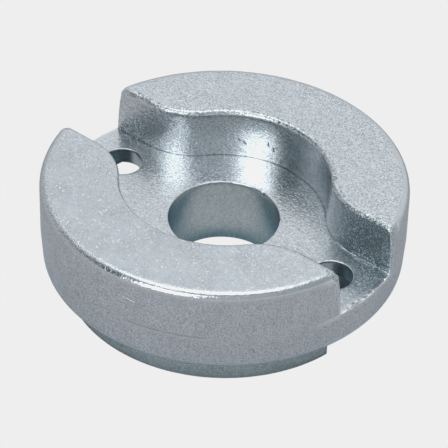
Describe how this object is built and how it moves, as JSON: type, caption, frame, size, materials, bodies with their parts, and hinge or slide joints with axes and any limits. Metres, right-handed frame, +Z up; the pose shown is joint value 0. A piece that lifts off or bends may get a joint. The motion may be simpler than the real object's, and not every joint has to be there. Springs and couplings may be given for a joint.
{
  "type": "two-jaw spindle collar",
  "caption": "Round cast collar with a smooth bore, two jaws either side of a channel with a round pocket, face-spanner holes and a slotted foot.",
  "frame": {"origin": "centre of the bore, in the plane of the foot's flat underside", "axes": "+Z up along the bore, from the foot to the jaws; +X along the channel, through both pin holes; +Y towards the wider side of the slot under the foot"},
  "size_m": [0.0466, 0.0466, 0.0158],
  "materials": {
    "zinc_plate": "bright zinc plate over an as-cast surface, granular on top, smoother in the channel and the bore"
  },
  "bodies": {
    "root": {"collar_body": "zinc_plate"}
  },
  "joints": []
}
